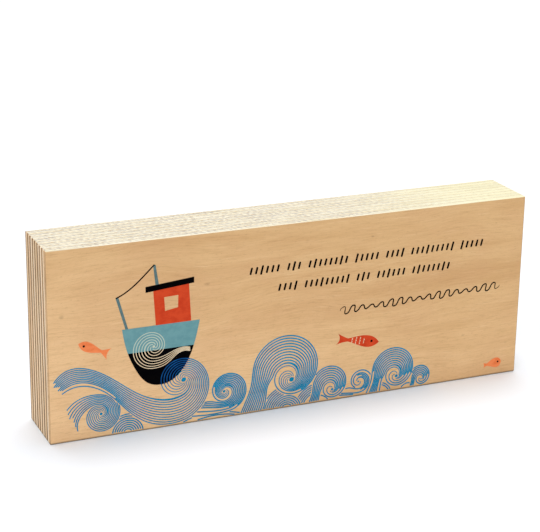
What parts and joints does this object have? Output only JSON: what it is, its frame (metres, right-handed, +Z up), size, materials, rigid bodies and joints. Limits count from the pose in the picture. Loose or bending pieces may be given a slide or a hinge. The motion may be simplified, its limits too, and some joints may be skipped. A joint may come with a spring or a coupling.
{
  "type": "plywood picture block",
  "caption": "Free-standing plywood block with a printed sea picture of a fishing boat, line waves and fish on its front face.",
  "frame": {"origin": "middle of the bottom of the block, on the surface that it stands on", "axes": "+X along the block to the right of the picture, +Y from the printed front to the back, +Z up"},
  "size_m": [0.184, 0.0241, 0.07],
  "materials": {
    "face_veneer": "sanded, unlacquered",
    "long_ply": "sawn edge",
    "cross_ply": "sawn edge",
    "glue": "hard resin line",
    "blue_ink": "thin matt print",
    "blue_on_black_ink": "thin matt print",
    "teal_ink": "thin matt print",
    "black_ink": "thin matt print",
    "red_ink": "thin matt print",
    "coral_ink": "thin matt print",
    "cream_ink": "thin matt print"
  },
  "bodies": {
    "root": {"front_veneer": "face_veneer", "ply_02_cross": "cross_ply", "ply_03_long": "long_ply", "ply_04_cross": "cross_ply", "ply_05_long": "long_ply", "ply_06_cross": "cross_ply", "ply_07_long": "long_ply", "ply_08_cross": "cross_ply", "ply_09_long": "long_ply", "ply_10_cross": "cross_ply", "ply_11_long": "long_ply", "ply_12_cross": "cross_ply", "ply_13_long": "long_ply", "ply_14_cross": "cross_ply", "ply_15_long": "long_ply", "ply_16_cross": "cross_ply", "back_veneer": "face_veneer", "glue_lines": "glue", "wave_1": "blue_ink", "wave_2": "blue_ink", "wave_3": "blue_ink", "wave_4": "blue_ink", "wave_5": "blue_ink", "wave_6": "blue_ink", "wave_7": "blue_ink", "wave_8": "blue_ink", "ripple_lines": "blue_ink", "wave_2_on_hull": "blue_on_black_ink", "hull_topside": "teal_ink", "mast": "teal_ink", "bow_post": "teal_ink", "hull_bottom": "black_ink", "cabin_roof": "black_ink", "stay_line": "black_ink", "fish_eyes": "black_ink", "caption_row_1": "black_ink", "caption_row_2": "black_ink", "caption_flourish": "black_ink", "cabin_wall": "red_ink", "fish_middle": "red_ink", "fish_left": "coral_ink", "fish_right": "coral_ink", "hull_curl": "cream_ink", "fish_scales": "cream_ink"}
  },
  "joints": []
}
